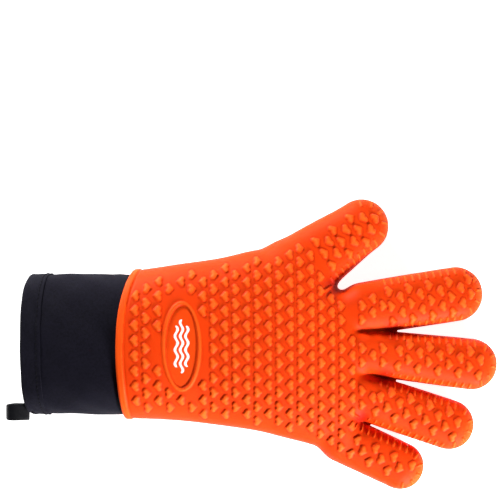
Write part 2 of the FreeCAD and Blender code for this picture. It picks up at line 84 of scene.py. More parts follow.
# Each digit lies along its heading, in degrees from +X, back from its tip. Half widths and half
# heights go by the distance back from the tip. join is where its hearts meet the palm's, grid,
# phase and shift place its rows of hearts, and the folds say how far each one reaches.
digitLooks = {
    "thumb": dict(tip=(96.6, 101.5), heading=35.0, round=19.5, ends=100, join=62,
                  wide=[(0, 19.6), (25, 20.3), (50, 23.2), (70, 25.0), (100, 26.0)],
                  high=[(0, 13.4), (20, 14.6), (50, 16.0), (75, 18.5), (100, 20.0)],
                  grid=(7.8, 10.6), phase=27, shift=-1.5,
                  rootFold=(-9, 12), middleFold=(-12.5, 13)),
    "index": dict(tip=(171.8, 41.5), heading=9.0, round=20.0, ends=112, join=75.6,
                  wide=[(0, 20.0), (30, 20.2), (60, 20.0), (112, 19.0)],
                  high=[(0, 12.6), (20, 13.6), (50, 14.6), (80, 16.6), (112, 19.0)],
                  grid=(7.7, 11.4), phase=43, shift=-2.0,
                  rootFold=(-12, 13), middleFold=(-13, 14)),
    "middle": dict(tip=(182.7, -17.2), heading=-6.5, round=18.9, ends=120, join=82,
                   wide=[(0, 18.9), (30, 18.8), (60, 18.1), (84, 17.5), (120, 16.5)],
                   high=[(0, 12.6), (20, 13.6), (55, 14.8), (90, 17.0), (120, 19.0)],
                   grid=(7.7, 11.4), phase=40, shift=-2.0,
                   rootFold=(-12, 16), middleFold=(-16, 16)),
    "ring": dict(tip=(164.3, -66.8), heading=-18.3, round=18.5, ends=108, join=80.2,
                 wide=[(0, 18.5), (30, 18.4), (60, 18.2), (108, 17.0)],
                 high=[(0, 12.4), (20, 13.4), (50, 14.4), (80, 16.4), (108, 18.0)],
                 grid=(7.7, 11.4), phase=40, shift=-2.0,
                 rootFold=(-12, 15), middleFold=(-15, 15)),
    "little": dict(tip=(125.6, -99.9), heading=-25.3, round=17.4, ends=84, join=60.5,
                   wide=[(0, 17.4), (30, 17.5), (60, 17.6), (84, 17.5)],
                   high=[(0, 12.0), (20, 13.0), (45, 14.2), (70, 16.0), (84, 17.5)],
                   grid=(7.7, 11.2), phase=36, shift=-1.0,
                   rootFold=(-11, 11), middleFold=(-10, 12)),
}
# Stations of forearm and palm along X: shift across, half width, half height.
handLooks = dict(
    stations=[(-110, 0.0, 53.4, 35.2), (-92.8, 0.0, 53.7, 35.2), (-55, 1.6, 57.4, 32.2),
              (-27, 2.0, 61.4, 29.6), (1, 3.0, 66.8, 27.8), (29, 0.5, 71.5, 25.2),
              (57, -17.5, 60.0, 20.6), (81, -21.5, 53.0, 16.5), (120, -21.5, 40.0, 13.0)],
    starts=-112, ends=81, endRound=17, floorGap=0.4,
    power=2.35, digitPower=2.3,                     # how square the sections are
    soften=8.0, webSoften=2.0, thumbSoften=11.0,    # how softly the parts run together
)


# Distance back from the tip, and distance to the thumb side of the digit's own line.
def toDigit(name, p):
    look = digitLooks[name]
    turn = math.radians(look["heading"])
    dx = p[:, 0] - look["tip"][0]
    dy = p[:, 1] - look["tip"][1]
    return -(dx * math.cos(turn) + dy * math.sin(turn)), -dx * math.sin(turn) + dy * math.cos(turn)


# Shift across, half width and half height of forearm and palm at X.
def handAt(x):
    return [curve([(row[0], row[k]) for row in handLooks["stations"]], x) for k in (1, 2, 3)]


# Roughly how far a point is outside a rounded oval section that closes over ahead.
def ovalGap(across, rise, wide, high, ahead, reach, n):
    a = np.abs(across) / wide
    b = np.abs(rise) / high
    q = (a**n + b**n) ** (1 / n) + 1e-6
    slopeAcross = (a / q) ** (n - 1) / wide
    slopeUp = (b / q) ** (n - 1) / high
    c = np.maximum(ahead, 0) / reach
    whole = np.sqrt(q * q + c * c)
    grad = np.sqrt((q * slopeAcross / whole) ** 2 + (q * slopeUp / whole) ** 2
                   + (c / reach / whole) ** 2)
    return (whole - 1) / np.maximum(grad, 0.35 / np.maximum(wide, high))


def digitGap(name, p, flat=False):
    look = digitLooks[name]
    s, l = toDigit(name, p)
    wide = curve(look["wide"], s)
    high = curve(look["high"], s)
    front = look["round"] - s
    back = s - (look["ends"] - look["round"])
    ahead = np.where(front > back, front, back)
    rise = 0 * s if flat else p[:, 2] - (high + handLooks["floorGap"])
    return ovalGap(l, rise, wide, high, ahead, look["round"], handLooks["digitPower"])


def palmGap(p, flat=False):
    shift, wide, high = handAt(p[:, 0])
    ahead = p[:, 0] - (handLooks["ends"] - handLooks["endRound"])
    rise = 0 * high if flat else p[:, 2] - (high + handLooks["floorGap"])
    return ovalGap(p[:, 1] - shift, rise, wide, high, ahead, handLooks["endRound"],
                   handLooks["power"])


# Gap to the smooth outside of the whole hand, or in plan to its outline. It is negative inside.
def handGap(p, flat=False):
    fingers = digitGap("index", p, flat)
    for name in ("middle", "ring", "little"):
        fingers = softMin(fingers, digitGap(name, p, flat), handLooks["webSoften"])
    both = softMin(fingers, palmGap(p, flat), handLooks["soften"])
    return softMin(both, digitGap("thumb", p, flat), handLooks["thumbSoften"])


def gapSlope(p):
    e = 0.05
    g = handGap(p)
    return g, np.stack([(handGap(p + np.eye(3)[i] * e) - g) / e for i in range(3)], 1)


# Moves points along the slope of the gap until they lie at the given depth.
def pullToSurface(p, depth, rounds):
    for _ in range(rounds):
        g, slope = gapSlope(p)
        step = np.clip((g + depth) / np.maximum((slope**2).sum(1), 0.05), -3, 3)
        p = p - slope * step[:, None]
    return p


# Height of the parting line at each point.
def middleHeight(p):
    total = 0
    weights = 0
    for name, look in digitLooks.items():
        w = np.exp(-np.clip(digitGap(name, p), -10, 60) / 3)
        total = total + w * (curve(look["high"], toDigit(name, p)[0]) + handLooks["floorGap"])
        weights = weights + w
    w = np.exp(-np.clip(palmGap(p), -10, 60) / 3)
    high = handAt(p[:, 0])[2]
    return (total + w * (high + handLooks["floorGap"])) / (weights + w)


# The silicone's forearm edge bows out: X against Y.
edgeLooks = dict(
    curve=[(-58, -93.0), (-30, -94.6), (0, -95.3), (25, -93.6), (45, -89.6), (58, -86.0)],
    rim=0.7, band=3.0, groove=0.25, bandTone=0.5,
    wall=2.4, lip=(1.0, 2.5, 5, 8, 11, 14, 17, 20),  # how far in the lip's rings stand
)


def edgeAt(y):
    return curve(edgeLooks["curve"], y)


# The places between two digits: X, Y and the heading of the short rib there.
# Round each web lies painted shade; the last number is how far it reaches.
webLooks = dict(places=[(57.4, 44.5, 215), (101.7, 10.0, 184), (95.0, -25.2, 166), (77.7, -55.2, 150)],
                start=3.0, end=9.5, half=0.6, height=0.7, dark=5.5)
# The badge's field and rim are painted lighter as painted light, and painted shade lies at the foot
# inside its rim.
badgeLooks = dict(at=(-52.2, -1.5), half=(13.4, 31.2), rim=2.3, proud=0.9, sink=0.6,
                  paintedLightTone=0.25, rimTone=0.4, shade=0.55)
# A dark ring of painted shade lies round each heart; one of these numbers sets its strength.
heartLooks = dict(size=5.05, round=0.68, widen=1.13, shorten=0.94, ahead=0.35, notch=0.2,
                  height=0.85, slope=1.15, dome=0.38, shade=0.34,
                  grid=(7.7, 10.4), middle=(0.5, 18.0), digitScale=1.05,
                  thumbMargin=9.6, littleMargin=6.5, badgeMargin=4.4, edgeMargin=7.6, webClear=6.5)


# Gap to a rounded heart about its middle, its point towards +u.
def heartGap(u, v):
    size = heartLooks["size"]
    x = np.abs(v) / size
    y = 0.53 - u / size
    lobe = np.hypot(x - 0.25, y - 0.75) - math.sqrt(2) / 4
    m = 0.5 * np.maximum(x + y, 0)
    side = np.sqrt(np.minimum(x * x + (y - 1) ** 2, (x - m) ** 2 + (y - m) ** 2)) * np.sign(x - y)
    body = np.where(x + y > 1, lobe, side) * size - heartLooks["round"]
    notch = (heartLooks["notch"] - np.hypot(x, y - 1.36)) * size
    return -softMin(-body, -notch, 0.5)


# A field of hearts in rows turned to the heading, each kept where wanted(middles) says so.
# Gives the height, and the ring of ground right round each heart, the mask for the painted shade round
# the hearts.
def heartField(p, grid, middle, heading, wanted, scale=1.0):
    turn = math.radians(heading)
    dx, dy = p[:, 0] - middle[0], p[:, 1] - middle[1]
    u = dx * math.cos(turn) + dy * math.sin(turn)
    v = -dx * math.sin(turn) + dy * math.cos(turn)
    i = np.round(u / grid[0]).astype(int)
    odd = i % 2                                     # every other row is half a step over
    j = np.round(v / grid[1] - odd * 0.5).astype(int)
    cu, cv = i * grid[0], (j + odd * 0.5) * grid[1]
    i0, j0 = i.min(), j.min()
    key = (i - i0) * (j.max() - j0 + 1) + (j - j0)
    first, back = np.unique(key, return_index=True, return_inverse=True)[1:]
    cx = middle[0] + cu[first] * math.cos(turn) - cv[first] * math.sin(turn)
    cy = middle[1] + cu[first] * math.sin(turn) + cv[first] * math.cos(turn)
    keep = wanted(np.stack([cx, cy, 0 * cx], 1))[back]
    ahead = np.where(odd == 1, cu - u, u - cu) - heartLooks["ahead"]
    gap = heartGap(ahead / heartLooks["shorten"] / scale, (v - cv) / heartLooks["widen"] / scale)
    top = smoothStep(0, heartLooks["slope"], -gap)
    dome = heartLooks["dome"] * smoothStep(0.5, 3.0, -gap)
    # painted shade: a dark ring of ground just outside each heart
    ring = keep * np.exp(-(((gap - 0.25) / 0.5) ** 2))
    return keep * top * (heartLooks["height"] + dome), ring


def farWebs(c):
    away = np.full(len(c), 1e3)
    for x, y, heading in webLooks["places"]:
        away = np.minimum(away, np.hypot(c[:, 0] - x, c[:, 1] - y))
    return away > heartLooks["webClear"]


# Hearts of the palm and forearm stay clear of the outline, the digits, the badge and the edge.
def wantPalm(c):
    thumbSide = smoothStep(0, 30, c[:, 1] - handAt(c[:, 0])[0])
    little, thumb = heartLooks["littleMargin"], heartLooks["thumbMargin"]
    keep = (handGap(c, True) < -(little + (thumb - little) * thumbSide)) & farWebs(c)
    for name, look in digitLooks.items():
        s, l = toDigit(name, c)
        keep &= ~((s < look["join"] + 3.4) & (np.abs(l) < 25))
    bx, by = badgeLooks["at"]
    hx, hy = (half + heartLooks["badgeMargin"] for half in badgeLooks["half"])
    keep &= ((c[:, 0] - bx) / hx) ** 2 + ((c[:, 1] - by) / hy) ** 2 > 1
    keep &= c[:, 0] > edgeAt(c[:, 1]) + heartLooks["edgeMargin"]
    return keep.astype(float)


# Hearts of a digit leave room for its ribs, and more where its outer side is bare.
def wantDigit(name):
    def wanted(c):
        s, l = toDigit(name, c)
        gap = digitGap(name, c, True)
        bare = {"thumb": l > 0, "little": l < 0}.get(name, l > 1e3)
        low = {"thumb": 7.6, "little": 9.6}.get(name, 5.9)
        margin = np.where(l < 0, low, np.where(bare, 9.6, 7.4))
        keep = (gap < -margin) & (s < digitLooks[name]["join"] - 1.0) & (s > 9.5) & farWebs(c)
        return keep.astype(float)

    return wanted


# Short ribs stand between near and far from a digit's outline, and ticks fan round its tip.
# The ribs are painted lighter as painted light.
ribLooks = dict(pitch=5.4, half=0.45, soft=0.7, height=0.7, paintedLightTone=0.8,
                near=1.4, far=5.6, nearLow=0.4, farLow=3.4,
                tickTurns=(-66, -33, 0, 33, 66), tickStart=0.66, tickEnd=0.88)


# Height of a rounded rib at distance d from its middle line.
def bar(d):
    return smoothStep(ribLooks["soft"], -0.25, d - ribLooks["half"])


def ribField(name, p):
    look = digitLooks[name]
    s, l = toDigit(name, p)
    gap = digitGap(name, p, True)
    sides = {"thumb": (-1,), "little": (1,)}.get(name, (1, -1))
    along = np.abs((s - 2.0) % ribLooks["pitch"] - ribLooks["pitch"] / 2)
    out = np.zeros(len(p))
    for side in sides:
        near, far = ribLooks["near"], ribLooks["far"]
        if side < 0 and name != "thumb":
            near, far = ribLooks["nearLow"], ribLooks["farLow"]
        past = np.maximum(np.maximum(near + gap, -gap - far), 0)
        on = (s > look["round"] * 0.9) & (s < look["join"] + 4) & (l * side > 0)
        out = np.maximum(out, on * bar(np.hypot(along, past)))
    ax, ay = look["round"] - s, l                   # from the middle of the rounded end
    away = np.hypot(ax, ay)
    start, end = look["round"] * ribLooks["tickStart"], look["round"] * ribLooks["tickEnd"]
    for turn in ribLooks["tickTurns"]:
        cx, cy = math.cos(math.radians(turn)), math.sin(math.radians(turn))
        t = ax * cx + ay * cy
        past = np.maximum(np.maximum(start - t, t - end), 0)
        out = np.maximum(out, (away > 3) * bar(np.hypot(ax * cy - ay * cx, past)))
    return ribLooks["height"] * out * (digitGap(name, p) < 2.5)


# Which digit each point lies on, by its place in digitLooks, or -1 on the palm.
def digitOf(p):
    which = np.full(len(p), -1)
    least = palmGap(p)
    for k, (name, look) in enumerate(digitLooks.items()):
        g = digitGap(name, p)
        mine = (g < least + 6) & (toDigit(name, p)[0] < look["join"] + 9)
        which[mine] = k
        least = np.where(mine, np.minimum(g, least), least)
    return which


# Hearts and ribs of the whole hand: height, rings round the hearts for painted shade, ribs, and
# fingertips painted paler as painted light.
def pattern(p):
    which = digitOf(p)
    high, ring = heartField(p, heartLooks["grid"], heartLooks["middle"], 0, wantPalm)
    rib = np.zeros(len(p))
    paintedTipLight = np.zeros(len(p))
    for k, (name, look) in enumerate(digitLooks.items()):
        turn = math.radians(look["heading"])
        mx = look["tip"][0] - look["phase"] * math.cos(turn) - look["shift"] * math.sin(turn)
        my = look["tip"][1] - look["phase"] * math.sin(turn) + look["shift"] * math.cos(turn)
        mine = which == k
        more, edge = heartField(p[mine], look["grid"], (mx, my), look["heading"], wantDigit(name),
                                heartLooks["digitScale"])
        high[mine] = np.maximum(high[mine], more)
        ring[mine] = np.maximum(ring[mine], edge)
        rib[mine] = ribField(name, p[mine])
        # painted light: the fingertips are painted paler
        paintedTipLight[mine] = 0.5 * smoothStep(11, 4, toDigit(name, p[mine])[0])
    return high, ring, rib, paintedTipLight


# The short rib at each web, and painted shade darkening the crevice round it.
def webField(p):
    high = np.zeros(len(p))
    dark = np.zeros(len(p))
    for x, y, heading in webLooks["places"]:
        turn = math.radians(heading)
        dx, dy = p[:, 0] - x, p[:, 1] - y
        t = dx * math.cos(turn) + dy * math.sin(turn)
        off = -dx * math.sin(turn) + dy * math.cos(turn)
        past = np.maximum(np.maximum(webLooks["start"] - t, t - webLooks["end"]), 0)
        top = smoothStep(0.75, -0.2, np.hypot(off, past) - webLooks["half"])
        high = np.maximum(high, webLooks["height"] * top)
        # painted shade: dark round each web, fading with distance
        away = np.maximum(np.hypot(dx, dy) - 1.5, 0)
        dark = np.maximum(dark, np.exp(-((away / webLooks["dark"]) ** 2)))
    return high, dark


# The oval badge: how far in from its outline, the crest of its rim, and its sunk field.
def badgeField(p):
    bx, by = badgeLooks["at"]
    hx, hy = badgeLooks["half"]
    q = np.hypot((p[:, 0] - bx) / hx, (p[:, 1] - by) / hy) + 1e-6
    grad = np.hypot((p[:, 0] - bx) / hx**2, (p[:, 1] - by) / hy**2) / q + 1e-6
    inside = (1 - q) / grad
    rim = badgeLooks["rim"]
    crest = np.clip(1 - ((inside - rim / 2) / (rim / 2 + 0.3)) ** 2, 0, 1) ** 0.7
    return inside, crest, smoothStep(rim - 0.2, rim + 0.55, inside)


# A fine bead runs round the glove's outline at the parting line.
beadLooks = dict(height=0.4, half=0.8, fromEdge=3.5)


# Height moulded on the silicone, a tone that paints crests lighter than valleys as painted light, and
# painted shade in crevices.
def relief(p, normal):
    flat = np.abs(normal[:, 2])
    facing = smoothStep(0.16, 0.42, flat)
    after = p[:, 0] - edgeAt(p[:, 1])
    high, ring, rib, paintedTipLight = pattern(p)
    web, dark = webField(p)
    high = np.maximum(high, web) * facing
    # painted light: ribs, fingertips and heart crests are painted in a lighter tone
    paintedLightTone = np.maximum(paintedTipLight, ribLooks["paintedLightTone"] * rib / ribLooks["height"])
    paintedLightTone = np.maximum(np.clip((high - 0.3) / 0.9, 0, 1), paintedLightTone)
    high = np.maximum(high, rib * smoothStep(0.02, 0.2, flat))
    bead = np.exp(-((p[:, 2] - middleHeight(p)) / beadLooks["half"]) ** 2)
    bead = bead * smoothStep(0.75, 0.45, flat) * (p[:, 0] > edgeAt(p[:, 1]) + beadLooks["fromEdge"])
    high = np.maximum(high, beadLooks["height"] * bead)

    inside, crest, field = badgeField(p)
    onBadge = (normal[:, 2] > 0) & (inside > -0.4)
    oval = badgeLooks["proud"] * crest * (1 - field) - badgeLooks["sink"] * field
    high = np.where(onBadge, oval, high)
    # painted light: the badge's sunk field is painted lighter, and its rim carries a painted highlight
    paintedLightTone = np.where(onBadge, crest * (1 - field) * badgeLooks["rimTone"] + badgeLooks["paintedLightTone"], paintedLightTone)

    band = edgeLooks["band"]                        # the proud band and the groove behind it
    proud = edgeLooks["rim"] * smoothStep(band + 0.7, band - 0.5, after)
    groove = -edgeLooks["groove"] * np.exp(-((after - band - 1.3) / 0.5) ** 2)
    high = np.where(after < band + 3, proud + groove, high)
    paintedLightTone = np.where(after < band + 0.3, edgeLooks["bandTone"], paintedLightTone)

    # painted shade: dark rings round the hearts and dark round the webs
    shade = np.maximum(heartLooks["shade"] * ring * facing, dark)
    rim = badgeLooks["rim"]
    # painted shade at the foot inside the badge's rim
    foot = (normal[:, 2] > 0) & (inside > rim - 0.3)
    foot = badgeLooks["shade"] * foot * np.exp(-((inside - rim - 0.2) / 0.7) ** 2)
    return high, paintedLightTone, np.maximum(shade, foot)


def getPoints(mesh):
    co = np.zeros(len(mesh.vertices) * 3)
    mesh.vertices.foreach_get("co", co)
    return co.reshape(-1, 3)


def setPoints(mesh, co):
    mesh.vertices.foreach_set("co", co.astype(np.float32).ravel())
    mesh.update()


def smoothFaces(mesh):
    mesh.polygons.foreach_set("use_smooth", [True] * len(mesh.polygons))


def newPiece(name, bm):
    mesh = bpy.data.meshes.new(name)
    bm.to_mesh(mesh)
    bm.free()
    obj = bpy.data.objects.new(name, mesh)
    bpy.context.scene.collection.objects.link(obj)
    return obj


# A finished small piece: faces outward, metres, smooth.
def closePiece(name, bm):
    bmesh.ops.recalc_face_normals(bm, faces=bm.faces)
    for v in bm.verts:
        v.co *= mm
    piece = newPiece(name, bm)
    smoothFaces(piece.data)
    return piece


def applyAll(obj):
    bpy.context.view_layer.update()
    graph = bpy.context.evaluated_depsgraph_get()
    done = bpy.data.meshes.new_from_object(obj.evaluated_get(graph))
    old = obj.data
    obj.modifiers.clear()
    obj.data = done
    bpy.data.meshes.remove(old)
    return obj


# A unit ball stretched into a rod. place(t, cu, cv) gives each point, t going from 0 to 1.
def capsule(bm, place):
    for v in bmesh.ops.create_uvsphere(bm, u_segments=36, v_segments=40, radius=1)["verts"]:
        turn = math.acos(max(-1, min(1, v.co.z))) / math.pi
        around = math.hypot(v.co.x, v.co.y)
        cu, cv = (v.co.x / around, v.co.y / around) if around > 1e-6 else (1, 0)
        v.co = place(turn, cu, cv)


# Overlapping rods for palm and digits, drawn in by the inset, to be remeshed as one skin.
def roughHand(inset):
    bm = bmesh.new()
    gap = handLooks["floorGap"]

    def palmSpot(t, cu, cv):
        x = handLooks["starts"] + t * (handLooks["ends"] - handLooks["starts"])
        shift, wide, high = (float(v[0]) for v in handAt(np.array([x])))
        lean = math.sqrt(max(1 - abs(2 * t - 1) ** 8, 0))
        across = cu * (wide * lean - inset * lean)
        return Vector((x, shift + across, high + gap + cv * (high - inset) * lean))

    capsule(bm, palmSpot)
    for look in digitLooks.values():
        turn = math.radians(look["heading"])
        ahead = Vector((math.cos(turn), math.sin(turn), 0))
        side = Vector((-math.sin(turn), math.cos(turn), 0))
        tip = Vector((look["tip"][0], look["tip"][1], 0))
        r = look["round"]

        def digitSpot(t, cu, cv):
            if t < 0.3:
                s, lean = r * (1 - math.cos(t / 0.3 * math.pi / 2)), math.sin(t / 0.3 * math.pi / 2)
            elif t > 0.7:
                far = (1 - t) / 0.3 * math.pi / 2
                s, lean = look["ends"] - r * (1 - math.cos(far)), math.sin(far)
            else:
                s, lean = r + (look["ends"] - 2 * r) * (t - 0.3) / 0.4, 1
            wide = float(curve(look["wide"], np.array([s]))[0]) * lean
            high = float(curve(look["high"], np.array([s]))[0])
            across = cu * (wide - inset * lean)
            rise = Vector((0, 0, high + gap + cv * (high - inset) * lean))
            return tip - ahead * (s + inset) + side * across + rise

        capsule(bm, digitSpot)
    bmesh.ops.recalc_face_normals(bm, faces=bm.faces)
    return newPiece("roughHand", bm)


# One closed skin of the hand at a depth under its smooth outside.
def surface(name, cell, refine, depth):
    hand = roughHand(depth)
    hand.name = name
    mod = hand.modifiers.new("cells", "REMESH")
    mod.mode = "VOXEL"
    mod.voxel_size = cell
    mod.adaptivity = 0
    applyAll(hand)
    setPoints(hand.data, pullToSurface(getPoints(hand.data), depth, 4))
    mod = hand.modifiers.new("relax", "SMOOTH")
    mod.factor = 0.5
    mod.iterations = 4
    applyAll(hand)
    if refine:
        mod = hand.modifiers.new("fine", "SUBSURF")
        mod.levels = mod.render_levels = refine
        applyAll(hand)
    setPoints(hand.data, pullToSurface(getPoints(hand.data), depth, 2))
    return hand


# Cuts the cuff side off along the line, which gives X for each Y.
def cutOff(obj, line):
    co = getPoints(obj.data)
    co[:, 0] -= line(co[:, 1])
    setPoints(obj.data, co)
    bm = bmesh.new()
    bm.from_mesh(obj.data)
    every = list(bm.verts) + list(bm.edges) + list(bm.faces)
    bmesh.ops.bisect_plane(bm, geom=every, dist=0.02, plane_co=(0, 0, 0), plane_no=(-1, 0, 0),
                           clear_outer=True)
    bm.to_mesh(obj.data)
    bm.free()
    co = getPoints(obj.data)
    co[:, 0] += line(co[:, 1])
    setPoints(obj.data, co)


# Extrudes a ring of edges once. The new points take over what the old ones stand for.
def growRing(bm, edges, tags):
    made = bmesh.ops.extrude_edge_only(bm, edges=edges)["geom"]
    fresh = {g for g in made if isinstance(g, bmesh.types.BMVert)}
    grown = {}
    for v in fresh:
        for e in v.link_edges:
            far = e.other_vert(v)
            if far in tags and far not in fresh:
                grown[v] = tags[far]
    return [g for g in made if isinstance(g, bmesh.types.BMEdge)], grown


# Rounds the open forearm edge over and turns it inside as far as the wall's lip reaches.
def addLip(obj, smooth, slope):
    co = getPoints(obj.data)
    bm = bmesh.new()
    bm.from_mesh(obj.data)
    bm.verts.ensure_lookup_table()
    edges = [e for e in bm.edges if len(e.link_faces) == 1]
    ring = {v: v.index for e in edges for v in e.verts}
    order = np.array(sorted(set(ring.values())))
    row = {k: i for i, k in enumerate(order)}
    radius = (edgeLooks["wall"] + edgeLooks["rim"]) / 2
    rings = []
    for turn in (math.pi * k / 8 for k in range(1, 9)):
        rings.append(co[order] - np.array([1.0, 0, 0]) * radius * math.sin(turn)
                     - slope[order] * radius * (1 - math.cos(turn)))
    for reach in edgeLooks["lip"]:
        rings.append(pullToSurface(smooth[order] + np.array([reach, 0, 0]), edgeLooks["wall"], 2))
    for places in rings:
        edges, ring = growRing(bm, edges, ring)
        for v, k in ring.items():
            v.co = places[row[k]]
    bm.to_mesh(obj.data)
    bm.free()


# Where the skins part, and how far the wrist bends to both sides of its hinge.
wristLooks = dict(fold=(-38, 14), cuts=(-39.5, 27.0))
pieceWords = ["forearm", "wrist", "palm"] + [d + part for d in digitLooks for part in ("Base", "Tip")]


# A hinge's place and the way ahead, square to its axis.
def hinge(name):
    j = joints[name]
    turn = math.atan2(j["axis"][1], j["axis"][0]) - math.pi / 2
    return np.array(j["pos_m"]) / mm, np.array([math.cos(turn), math.sin(turn), 0])


# Which of pieceWords each point belongs to.
def pieceOf(p):
    low, high = wristLooks["cuts"]
    out = np.where(p[:, 0] < low, 0, np.where(p[:, 0] < high, 1, 2))
    least = np.full(len(p), 1e9)
    who = np.full(len(p), -1)
    for k, name in enumerate(digitLooks):
        g = digitGap(name, p)
        who = np.where(g < least, k, who)
        least = np.minimum(g, least)
    for k, (name, look) in enumerate(digitLooks.items()):
        root = hinge(name + "_root_bend")[0]
        knuckle, ahead = hinge(name + "_middle_bend")
        mine = (who == k) & (least < 9) & ((p - root) @ ahead > look["rootFold"][0] - 1)
        mine &= toDigit(name, p)[0] < look["join"] + 14
        out = np.where(mine, 3 + 2 * k, out)
        tip = mine & ((p - knuckle) @ ahead > look["middleFold"][0] - 1)
        out = np.where(tip, 4 + 2 * k, out)
    return out


# Parts one skin into its named pieces, keeping the uncut skin's own shading direction.
def shareOut(obj, kind):
    mesh = obj.data
    middles = np.zeros(len(mesh.polygons) * 3)
    mesh.polygons.foreach_get("center", middles)
    which = pieceOf(middles.reshape(-1, 3))
    marks = [bpy.data.materials.new("part." + word) for word in pieceWords]
    mesh.materials.clear()
    for mark in marks:
        mesh.materials.append(mark)
    mesh.polygons.foreach_set("material_index", which.astype(np.int32))
    straight = np.zeros(len(mesh.vertices) * 3, np.float32)
    mesh.vertex_normals.foreach_get("vector", straight)
    mesh.attributes.new("straight", "FLOAT_VECTOR", "POINT").data.foreach_set("vector", straight)
    bpy.ops.object.select_all(action="DESELECT")
    obj.select_set(True)
    bpy.context.view_layer.objects.active = obj
    bpy.ops.object.mode_set(mode="EDIT")
    bpy.ops.mesh.select_all(action="SELECT")
    bpy.ops.mesh.separate(type="MATERIAL")
    bpy.ops.object.mode_set(mode="OBJECT")
    found = {}
    for piece in list(bpy.context.selected_objects):
        mesh = piece.data
        slots = np.zeros(len(mesh.polygons), np.int32)
        mesh.polygons.foreach_get("material_index", slots)
        word = mesh.materials[int(slots[0])].name.split(".")[1]
        piece.name = mesh.name = word + kind
        found[word] = piece
    for piece in found.values():
        piece.data.materials.clear()
    for mark in marks:
        bpy.data.materials.remove(mark)
    return found


def finishSkin(piece, keepNormals):
    mesh = piece.data
    setPoints(mesh, getPoints(mesh) * mm)
    smoothFaces(mesh)
    mesh.polygons.foreach_set("material_index", np.zeros(len(mesh.polygons), np.int32))
    if keepNormals:
        n = np.zeros(len(mesh.vertices) * 3, np.float32)
        mesh.attributes["straight"].data.foreach_get("vector", n)
        mesh.normals_split_custom_set_from_vertices(n.reshape(-1, 3))
    mesh.attributes.remove(mesh.attributes["straight"])
    mesh.update()


def bendOver(piece, nodes):
    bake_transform(piece)
    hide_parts(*nodes)


# Ties the forearm and palm pieces of one layer to their bodies, bakes the wrist and digit pieces where
# they lie, and hides the parts they stand in for.
def hangOn(found, layer):
    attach(found["forearm"], "gauntlet")
    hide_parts("gauntlet" + layer)
    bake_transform(found["wrist"])
    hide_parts("wrist_fold" + layer)
    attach(found["palm"], "palm")
    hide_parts("palm" + layer)
    for name, look in digitLooks.items():
        bendOver(found[name + "Base"],
                 [name + "_root_fold" + layer, name + "_base" + layer])
        bendOver(found[name + "Tip"],
                 [name + "_middle_fold" + layer, name + "_tip" + layer])


log("silicone skin")
skinLooks = dict(cell=1.16, refine=1, slot="silicone")
skin = surface("skin", skinLooks["cell"], skinLooks["refine"], 0)
cutOff(skin, edgeAt)
smoothSkin = getPoints(skin.data)
outward = gapSlope(smoothSkin)[1]
outward /= np.maximum(np.sqrt((outward**2).sum(1)), 1e-6)[:, None]
log("relief on", len(smoothSkin), "points")
rise, paintedLightTone, shade = relief(smoothSkin, outward)
setPoints(skin.data, smoothSkin + outward * rise[:, None])
# The tone carries painted light and the shade carries painted shade, kept on the skin's points.
for word, values in (("paintedLightTone", paintedLightTone), ("shade", shade)):
    spot = skin.data.attributes.new(word, "FLOAT", "POINT")
    spot.data.foreach_set("value", values.astype(np.float32))
addLip(skin, smoothSkin, outward)
log("parting the skin", len(skin.data.polygons))
skins = shareOut(skin, "Skin")
for piece in skins.values():
    finishSkin(piece, True)
hangOn(skins, "_shell")

log("cotton liner")
linerLooks = dict(cell=2.8, depth=2.9, wall=2.0, start=-73, slot="cotton_lining")
liner = surface("liner", linerLooks["cell"], 0, linerLooks["depth"])
cutOff(liner, lambda y: 0 * y + linerLooks["start"])
liners = shareOut(liner, "Liner")
for piece in liners.values():
    mod = piece.modifiers.new("wall", "SOLIDIFY")
    mod.thickness = linerLooks["wall"]
    mod.offset = -1
    applyAll(piece)
    finishSkin(piece, False)
hangOn(liners, "_liner")


# A tube swept through stations. spot(i, a) is a point at station i and angle a. It closes on
# itself unless it is capped. Its cloth map is in millimetres.
def ringTube(name, stations, around, spot, capped=False):
    bm = bmesh.new()
    made = bmesh.ops.create_circle(bm, cap_ends=False, segments=around, radius=1)["verts"]
    ring = {v: math.atan2(v.co.y, v.co.x) for v in made}
    angle = dict(ring)
    station = {v: 0 for v in made}
    for v, a in ring.items():
        v.co = spot(0, a)
    edges = firstEdges = list(bm.edges)
    for i in range(1, stations):
        edges, ring = growRing(bm, edges, ring)
        for v, a in ring.items():
            angle[v], station[v] = a, i
            v.co = spot(i, a)
    cloth = bm.loops.layers.uv.new("cloth")
    lengths = [0.0]
    for i in range(1, stations):
        lengths.append(lengths[-1] + (Vector(spot(i, 0.0)) - Vector(spot(i - 1, 0.0))).length)
    turns = [2 * math.pi * k / 48 for k in range(49)]
    girth = sum((Vector(spot(0, b)) - Vector(spot(0, a))).length for a, b in zip(turns, turns[1:]))
    for f in bm.faces:
        angles = [angle[l.vert] for l in f.loops]
        for l, a in zip(f.loops, angles):
            if max(angles) - min(angles) > math.pi and a < 0:    # the face that closes the round
                a += 2 * math.pi
            l[cloth].uv = (lengths[station[l.vert]], a / (2 * math.pi) * girth)
    if capped:
        bmesh.ops.contextual_create(bm, geom=firstEdges)
        bmesh.ops.contextual_create(bm, geom=edges)
    else:
        bmesh.ops.bridge_loops(bm, edges=edges + firstEdges)
    return closePiece(name, bm)


# How squarely a point at angle a stands out on an oval of the given power.
def squareOut(a, power):
    ca, sa = math.cos(a), math.sin(a)
    r = (abs(ca) ** power + abs(sa) ** power) ** (-1 / power)
    return r, ca, sa


log("cuff")
